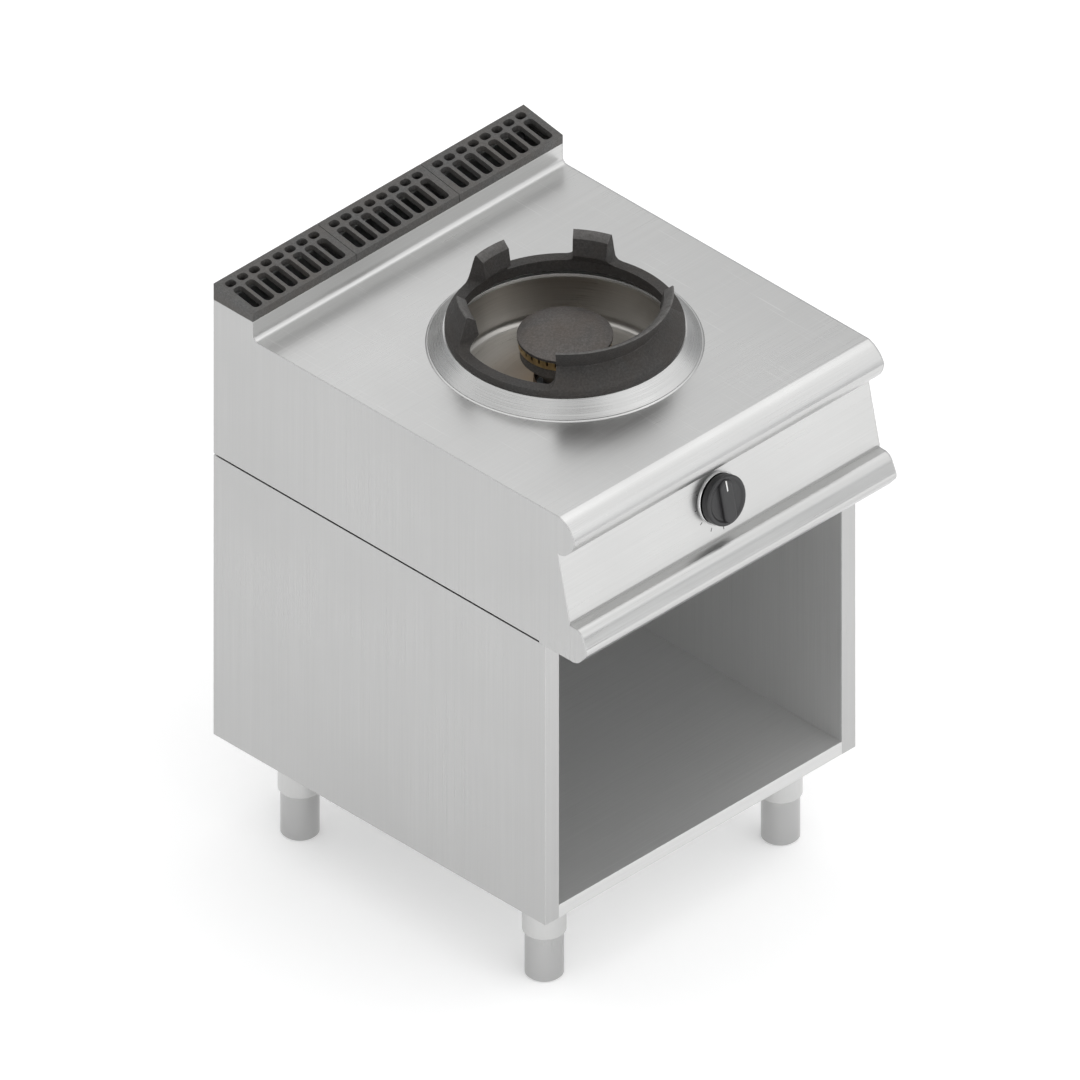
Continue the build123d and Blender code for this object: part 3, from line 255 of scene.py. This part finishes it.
def turned_metal(name, colour, rough, tint=None, tint_r=None):
    """Metal with marks of spinning or turning, and an optional heat tint near the axis.

    The tint is full at the first radius of tint_r and gone at the second.
    """
    net = Net(name)
    around, r = net.turned(SPUN_FINE)
    rings = net.noise(around, detail=3.0, rough=0.6)
    cloud = net.noise(net.place(), scale=14.0, detail=4.0)
    base = net.blend(net.spread(rings, 0.0, 1.0), tone(colour, 0.86), tone(colour, 1.08))
    base = net.blend(net.spread(cloud, 0.0, 0.6), base, tone(colour, 0.88))
    if tint:
        reach = net.plus(r, net.spread(cloud, -0.012, 0.012))
        base = net.blend(net.spread(reach, 0.85, 0.0, *tint_r), base, tone(tint, 1.0))
    roughness = net.plus(net.spread(rings, rough - 0.05, rough + 0.08),
                         net.spread(cloud, -0.04, 0.06))
    net.set(Base_Color=base, Metallic=1.0, Roughness=roughness,
            Normal=net.bump(rings, 0.08, distance=0.0004, normal=net.rounded(0.0008)))
    return net.material


def zinc(name, colour):
    """Zinc-coated sheet with its faint crystal pattern."""
    net = Net(name)
    cells = net.add("ShaderNodeTexVoronoi", feature="F1")
    net.link(net.place(), cells.inputs["Vector"])
    cells.inputs["Scale"].default_value = CRYSTALS
    shade = net.add("ShaderNodeSeparateColor")
    net.link(cells.outputs["Color"], shade.inputs[0])
    dirt = net.noise(net.place(), scale=9.0, detail=4.0)
    base = net.blend(shade.outputs[0], tone(colour, 0.85), tone(colour, 1.12))
    base = net.blend(net.spread(dirt, 0.0, 0.4), base, tone(colour, 0.7))
    net.set(Base_Color=base, Metallic=0.9,
            Roughness=net.spread(shade.outputs[1], 0.38, 0.55, 0, 1),
            Normal=net.bump(dirt, 0.05, distance=0.0005, normal=net.rounded(0.0008)))
    return net.material


CHAFED = (0.24, 0.235, 0.23, 1.0)           # iron rubbed bare on its edges
RUBBED = (0.17, 0.165, 0.16, 1.0)           # and where a pan slides on it


def iron(name, colour, rough, sand=950.0, strength=0.5, worn=None, metal=0.35):
    """Sand-cast iron: granular skin, slow unevenness, rust tint, and brighter rubbed edges.

    sand is the finest grains per metre, and worn the heights between which the tops of the
    casting are rubbed more and more.
    """
    net = Net(name)
    grit = net.noise(net.place(), scale=sand, detail=2.0, rough=0.7)
    lumps = net.noise(net.place(shift=(2, 2, 2)), scale=170.0, detail=4.0, rough=0.6)
    stain = net.noise(net.place(shift=(7, 1, 4)), scale=22.0, detail=5.0, distort=0.6)
    mottle = net.noise(net.place(shift=(5, 3, 1)), scale=310.0, detail=4.0, rough=0.75)
    base = net.blend(net.spread(grit, 0.0, 1.0), tone(colour, 0.65), tone(colour, 1.40))
    base = net.blend(net.spread(mottle, 0.0, 0.85, 0.42, 0.66), base, tone(colour, 1.9))
    base = net.blend(net.spread(stain, 0.0, 0.35), base, tone(colour, 1.9, 1.55, 1.3))
    roughness = net.plus(net.spread(grit, rough - 0.08, rough + 0.1),
                         net.spread(stain, -0.05, 0.08))
    chafed = net.times(net.edges(net.rounded(0.0022)), net.spread(lumps, 0.1, 0.65))
    base = net.blend(chafed, base, CHAFED)
    if worn:
        height = net.split(net.place())[2]
        facing = net.split(net.add("ShaderNodeNewGeometry").outputs["Normal"])[2]
        high = net.spread(height, 0.0, 1.0, *worn)
        flat = net.spread(facing, 0.0, 1.0, 0.45, 0.75)
        rub = net.times(net.times(high, flat), net.spread(lumps, 0.35, 0.9))
        base = net.blend(rub, base, RUBBED)
        roughness = net.minus(roughness, net.times(rub, 0.22))
    skin = net.plus(net.times(grit, 0.5), net.times(lumps, 1.2))
    skin = net.plus(skin, net.times(mottle, 1.8))
    net.set(Base_Color=base, Metallic=metal, Roughness=roughness,
            Normal=net.bump(skin, strength, distance=0.0014, normal=net.rounded(0.0014)))
    return net.material


PATINA = (0.24, 0.16, 0.09, 1.0)            # brass where it has gone dull


def brass(name, colour, rough, dull):
    """Turned brass or drawn copper, with dull and darker patches."""
    net = Net(name)
    rings = net.noise(net.turned(LATHE_FINE)[0], detail=2.0)
    patina = net.noise(net.place(), scale=40.0, detail=5.0, rough=0.65)
    base = net.blend(net.spread(rings, 0.0, 1.0), tone(colour, 0.88), tone(colour, 1.06))
    base = net.blend(net.spread(patina, 0.0, dull, 0.4, 0.75), base, PATINA)
    roughness = net.plus(net.spread(rings, rough - 0.04, rough + 0.05),
                         net.spread(patina, -0.04, 0.12))
    net.set(Base_Color=base, Metallic=1.0, Roughness=roughness,
            Normal=net.bump(rings, 0.07, distance=0.0003, normal=net.rounded(0.0005)))
    return net.material


def moulded(name, colour, rough, grain, strength, specular=0.5):
    """Moulded plastic, rubber or paint: a fine grain over slow changes of gloss."""
    net = Net(name)
    fine = net.noise(net.place(), scale=grain, detail=2.0, rough=0.6)
    slow = net.noise(net.place(), scale=18.0, detail=4.0)
    base = net.blend(net.spread(slow, 0.0, 1.0), tone(colour, 0.88), tone(colour, 1.14))
    base = net.blend(net.spread(fine, 0.0, 0.35), base, tone(colour, 1.35))
    roughness = net.plus(net.spread(fine, rough - 0.04, rough + 0.06),
                         net.spread(slow, -0.03, 0.05))
    net.set(Base_Color=base, Roughness=roughness, Specular_IOR_Level=specular,
            Normal=net.bump(fine, strength, distance=0.0003, normal=net.rounded(0.0008)))
    return net.material


# ------------------------------------------------------------------ materials
# One stainless sheet in lit and shaded copies: the side panels are painted darker than the front
# as painted shade, and the worktop and collar a little paler as painted light.
FRONT = (0.55, 0.55, 0.545)
SIDE_PAINTED_SHADE = (0.50, 0.50, 0.497)
TOP_PAINTED_LIGHT = (0.58, 0.58, 0.575)
# The liners are painted paler than the outer sheet, as painted light that lifts the shade inside
# the open base.
LINER_PAINTED_LIGHT = (0.68, 0.68, 0.675)

materials = {
    "panel_x": brushed("panel_steel_along_x", FRONT, rough=0.30, along="X"),
    "panel_z": brushed("panel_steel_upright_painted_shade", SIDE_PAINTED_SHADE, rough=0.31, along="Z"),
    "liner_z": brushed("liner_steel_upright_painted_light", LINER_PAINTED_LIGHT, rough=0.44, along="Z", strength=0.05,
                       metal=0.62),
    "liner_x": brushed("liner_steel_along_x_painted_light", LINER_PAINTED_LIGHT, rough=0.44, along="X", strength=0.05,
                       metal=0.62),
    "worktop": brushed("worktop_steel", TOP_PAINTED_LIGHT, rough=0.30, along="X", strength=0.05,
                       scratched=True),
    "collar": turned_metal("collar_steel", TOP_PAINTED_LIGHT, rough=0.27),
    "bowl": turned_metal("bowl_steel", (0.52, 0.505, 0.48), rough=0.32,
                         tint=(0.30, 0.22, 0.14), tint_r=(0.05, 0.125)),
    "sleeve": brushed("sleeve_steel", (0.60, 0.60, 0.595), rough=0.30, along="Z", edge=0.0008,
                      strength=0.04, contrast=0.4),
    "foot": brushed("foot_steel", (0.47, 0.47, 0.468), rough=0.24, along="Z", edge=0.0008,
                    strength=0.03, contrast=0.4),
    "zinc": zinc("zinc_steel", (0.50, 0.52, 0.53)),
    "bolt": brushed("bolt_steel", (0.56, 0.56, 0.55), rough=0.34, along="Z", edge=0.0005),
    "pilot": turned_metal("pilot_steel", (0.44, 0.42, 0.39), rough=0.36,
                          tint=(0.22, 0.17, 0.20), tint_r=(0.06, 0.12)),
    "bezel": brushed("bezel_steel", (0.62, 0.62, 0.62), rough=0.22, along="X", edge=0.0006),
    "ring": iron("ring_iron", (0.038, 0.037, 0.036), rough=0.58, strength=0.75,
                 worn=(RING_LOW, RING_TOP)),
    "grille": iron("grille_iron", (0.060, 0.060, 0.059), rough=0.46, sand=700.0,
                   strength=0.35, metal=0.15),
    "burner": iron("burner_iron", (0.11, 0.105, 0.10), rough=0.66, sand=800.0),
    "cap": iron("cap_iron", (0.075, 0.071, 0.068), rough=0.50, sand=1200.0, strength=0.25,
                metal=0.6),
    "crown": brass("crown_brass", (0.62, 0.45, 0.21), rough=0.34, dull=0.75),
    "brass": brass("gas_brass", (0.74, 0.56, 0.28), rough=0.27, dull=0.35),
    "copper": brass("copper_pipe", (0.72, 0.40, 0.25), rough=0.28, dull=0.5),
    "gas_pipe": moulded("gas_pipe_paint", (0.70, 0.52, 0.06), rough=0.38, grain=500.0,
                        strength=0.08),
    "rubber": moulded("seal_rubber", (0.030, 0.030, 0.030), rough=0.75, grain=1500.0,
                      strength=0.25, specular=0.3),
    "knob": moulded("knob_plastic", (0.022, 0.022, 0.023), rough=0.42, grain=2600.0,
                    strength=0.22),
    "mark": moulded("pointer_paint", (0.80, 0.80, 0.78), rough=0.45, grain=1800.0,
                    strength=0.05),
    "print": moulded("dial_print", (0.030, 0.030, 0.032), rough=0.55, grain=2200.0,
                     strength=0.05),
}

CORNERS = ("front_left", "front_right", "rear_left", "rear_right")
LOOKS = {
    "panel_x": ["control_panel", "lower_nose", "upper_back"],
    "panel_z": ["base_side_left", "base_side_right", "upper_side_left", "upper_side_right"],
    "liner_z": ["base_liner_left", "base_liner_right", "base_back"],
    "liner_x": ["base_floor", "base_front_rail", "base_rear_rail"],
    "worktop": ["worktop"],
    "collar": ["wok_collar"],
    "bowl": ["spill_bowl"],
    "sleeve": [f"leg_sleeve_{corner}" for corner in CORNERS],
    "foot": [f"foot_{corner}" for corner in CORNERS],
    "zinc": ["corner_plates", "heat_shield", "air_shutter", "burner_bracket"],
    "bolt": ["leg_bolts", "panel_screws", "tap_screws", "tap_spindle", "gas_inlet",
             "earth_stud"],
    "pilot": ["pilot_burner", "thermocouple"],
    "bezel": ["knob_bezel"],
    "ring": ["wok_ring"],
    "grille": ["flue_grille_left", "flue_grille_centre", "flue_grille_right"],
    "burner": ["burner_body", "mixer_tube"],
    "cap": ["burner_cap"],
    "crown": ["burner_crown"],
    "brass": ["injector", "injector_holder", "gas_tap", "tap_plunger"],
    "copper": ["burner_pipe", "pilot_pipe", "thermocouple_lead"],
    "gas_pipe": ["supply_pipe"],
    "rubber": ["seam_gasket"],
    "knob": ["knob"],
}
for look, names in LOOKS.items():
    for name in names:
        NODES[name].data.materials.clear()
        NODES[name].data.materials.append(materials[look])


# ------------------------------------------------------------------ pieces
def mesh_object(name, verts, faces, material):
    mesh = bpy.data.meshes.new(name)
    mesh.from_pydata([tuple(v) for v in verts], [], faces)
    mesh.update()
    mesh.materials.append(material)
    obj = bpy.data.objects.new(name, mesh)
    bpy.context.collection.objects.link(obj)
    return obj


def piece(name, shape, material, body, smooth=False):
    """A mesh object that rides on one body; shape is its corners and faces."""
    obj = mesh_object(name, *shape, material)
    for poly in obj.data.polygons:
        poly.use_smooth = smooth
    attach(obj, body)


def lathe(profile, steps):
    """Closed section of (radius, height) swept round the ring's axis."""
    verts, faces = [], []
    n = len(profile)
    for i in range(steps):
        angle = 2 * math.pi * i / steps
        for r, z in profile:
            verts.append((RING[0] + r * math.cos(angle), RING[1] + r * math.sin(angle), z))
    for i in range(steps):
        j = (i + 1) % steps
        for k in range(n):
            m = (k + 1) % n
            faces.append((i * n + k, j * n + k, j * n + m, i * n + m))
    return verts, faces


def on_knob(across, upward, out):
    """A point in the knob's own frame, in metres from its centre on the panel."""
    return KNOB + KNOB_RIGHT * across + KNOB_UP * upward + KNOB_OUT * out


def slab(outline, low, high, dome):
    """A thin closed plate on the knob's frame, with its top drawn in by dome."""
    n = len(outline)
    cx = sum(x for x, _ in outline) / n
    cy = sum(y for _, y in outline) / n
    verts = [on_knob(x, y, low) for x, y in outline]
    verts += [on_knob(x, y, high - dome) for x, y in outline]
    for x, y in outline:
        reach = math.hypot(x - cx, y - cy)
        verts.append(on_knob(x - (x - cx) / reach * dome, y - (y - cy) / reach * dome, high))
    faces = [tuple(range(n - 1, -1, -1)), tuple(range(2 * n, 3 * n))]
    for ring in (0, n):
        for i in range(n):
            j = (i + 1) % n
            faces.append((ring + i, ring + j, ring + n + j, ring + n + i))
    return verts, faces


def merged(shapes):
    verts, faces = [], []
    for more, sides in shapes:
        faces += [tuple(i + len(verts) for i in side) for side in sides]
        verts += more
    return verts, faces


def dial_dot():
    turn = 2 * math.pi / DOT_STEPS
    outline = [(DOT_R * math.cos(turn * i), DOT_AT + DOT_R * math.sin(turn * i))
               for i in range(DOT_STEPS)]
    return slab(outline, 0.0, PRINT_T, PRINT_DOME)


def dial_tick(angle, length):
    """A short radial mark; the angle is counted from the dot."""
    outline = []
    for along, side in ((0, -1), (0, 1), (length, 1), (length, -1)):
        x, y = side * TICK_W / 2, TICK_AT + along
        outline.append((x * math.cos(angle) + y * math.sin(angle),
                        y * math.cos(angle) - x * math.sin(angle)))
    return slab(outline, 0.0, PRINT_T, PRINT_DOME)


# The ground weld where the collar meets the worktop.
bead = [(COLLAR_R + out, WORKTOP + rise) for out, rise in WELD]
piece("collar_weld", lathe(bead, WELD_STEPS), materials["collar"], "range",
      smooth=True)

# White paint that fills the groove in the knob's grip.
half_w, half_l = GROOVE_W / 2 - PAINT_GAP, GROOVE_L / 2 - PAINT_GAP
near, far = GROOVE_MIDDLE - half_l, GROOVE_MIDDLE + half_l
paint = [(-half_w, near), (half_w, near), (half_w, far), (-half_w, far)]
piece("knob_pointer", slab(paint, GRIP_TOP - PAINT_DEPTH, GRIP_TOP - PAINT_GAP, PAINT_DOME),
      materials["mark"], "knob")

# Printed marks round the bezel: a dot for off, and a tick for each step of flame.
marks = [dial_dot()]
for step in range(TICKS):
    turn = math.radians(TICK_START + TICK_STEP * step)
    marks.append(dial_tick(turn, TICK_L + TICK_GROWTH * step))
piece("dial_marks", merged(marks), materials["print"], "range")


# ------------------------------------------------------------------ stage
FLOOR_HALF = 15.0
FLOOR_DARK, FLOOR_PALE = (0.86, 0.86, 0.86, 1), (0.88, 0.88, 0.88, 1)
FLOOR_GLOW = 0.27               # added where the camera or metal sees the floor
FAR_GLOW = 0.32                 # added further out, where the lamps reach less
FAR_FROM, FAR_TO = 1.6, 4.2     # metres from the object where that begins and ends


def floor_material():
    """Pale floor that keeps the shadow; the camera, metal and glass see it whiter."""
    net = Net("studio_floor")
    soft = net.noise(net.place(), scale=0.8, detail=2.0)
    base = net.blend(net.spread(soft, 0.0, 1.0), FLOOR_DARK, FLOOR_PALE)
    net.set(Base_Color=base, Roughness=0.9, Specular_IOR_Level=0.1)
    path = net.add("ShaderNodeLightPath").outputs
    seen = net.math("MAXIMUM", path["Is Camera Ray"], path["Is Glossy Ray"])
    seen = net.math("MAXIMUM", seen, path["Is Transmission Ray"])
    away = net.add("ShaderNodeVectorMath", operation="LENGTH")
    net.link(net.place(), away.inputs[0])
    level = net.spread(away.outputs["Value"], FLOOR_GLOW, FLOOR_GLOW + FAR_GLOW,
                       FAR_FROM, FAR_TO)
    glow = net.add("ShaderNodeEmission")
    net.link(net.times(seen, level), glow.inputs["Strength"])
    both = net.add("ShaderNodeAddShader")
    net.link(net.shader.outputs[0], both.inputs[0])
    net.link(glow.outputs[0], both.inputs[1])
    net.link(both.outputs[0], net.out.inputs[0])
    return net.material


floor_corners = [(x * FLOOR_HALF, y * FLOOR_HALF, 0)
                 for x, y in ((-1, -1), (1, -1), (1, 1), (-1, 1))]
mesh_object("floor", floor_corners, [(0, 1, 2, 3)], floor_material())


# ------------------------------------------------------------------ light
def area_light(name, place, target, size, power):
    data = bpy.data.lights.new(name, "AREA")
    data.shape = "RECTANGLE"
    data.size, data.size_y = size
    data.energy = power
    lamp = bpy.data.objects.new(name, data)
    lamp.location = place
    lamp.rotation_euler = (Vector(target) - Vector(place)).to_track_quat("-Z", "Y").to_euler()
    bpy.context.collection.objects.link(lamp)


# Large dim lamps, so that steel doesn't mirror them as white: place, target, size, watts.
area_light("key", (2.6, -2.6, 3.6), (0, 0, 0.5), (5.8, 5.8), 66)
area_light("overhead", (0.0, 1.0, 3.6), (0, 0, 0.6), (5.2, 5.2), 48)
area_light("left_fill", (-3.2, -1.2, 1.8), (0, 0, 0.5), (4.2, 3.0), 9)
area_light("front_fill", (-1.1, -3.9, 1.7), (0, 0, 0.30), (7.2, 3.4), 66)

HORIZON = (0.62, 0.63, 0.64, 1)
ZENITH, ZENITH_AT = (1.0, 1.0, 1.0, 1), 0.75
SKY_STRENGTH = 0.68


def studio_world():
    """A soft sky that darkens towards the horizon, which gives the steel its gradients."""
    world = bpy.data.worlds.new("studio")
    world.use_nodes = True
    tree = world.node_tree
    tree.nodes.clear()
    coords = tree.nodes.new("ShaderNodeTexCoord")
    split = tree.nodes.new("ShaderNodeSeparateXYZ")
    ramp = tree.nodes.new("ShaderNodeValToRGB")
    back = tree.nodes.new("ShaderNodeBackground")
    out = tree.nodes.new("ShaderNodeOutputWorld")
    horizon, zenith = ramp.color_ramp.elements
    horizon.position, horizon.color = 0.0, HORIZON
    zenith.position, zenith.color = ZENITH_AT, ZENITH
    back.inputs[1].default_value = SKY_STRENGTH
    tree.links.new(coords.outputs["Generated"], split.inputs[0])
    tree.links.new(split.outputs[2], ramp.inputs[0])
    tree.links.new(ramp.outputs[0], back.inputs[0])
    tree.links.new(back.outputs[0], out.inputs[0])
    return world


bpy.context.scene.world = studio_world()

# ------------------------------------------------------------------ camera
# The drawing is isometric: a parallel view from the front left, 35.26 degrees down.
FORWARD = Vector((1, 1, -1)).normalized()
RIGHT = Vector((1, -1, 0)).normalized()
UP = Vector((1, 1, 2)).normalized()
BASE_CORNER = Vector((-0.300, -0.281, 0.150))   # the base's front left corner, at the bottom
ASIDE, ABOVE = -0.00725, 0.5275             # from that corner to the drawing's middle
FRAME_WIDTH = 1.4778                        # metres across the drawing
CAMERA_AWAY = 3.0

data = bpy.data.cameras.new("camera")
data.type = "ORTHO"
data.ortho_scale = FRAME_WIDTH
data.clip_end = 50
camera = bpy.data.objects.new("camera", data)
middle = BASE_CORNER + RIGHT * ASIDE + UP * ABOVE
camera.location = middle - FORWARD * CAMERA_AWAY
camera.rotation_euler = FORWARD.to_track_quat("-Z", "Y").to_euler()
bpy.context.collection.objects.link(camera)
bpy.context.scene.camera = camera
bpy.context.scene.view_settings.view_transform = "Standard"
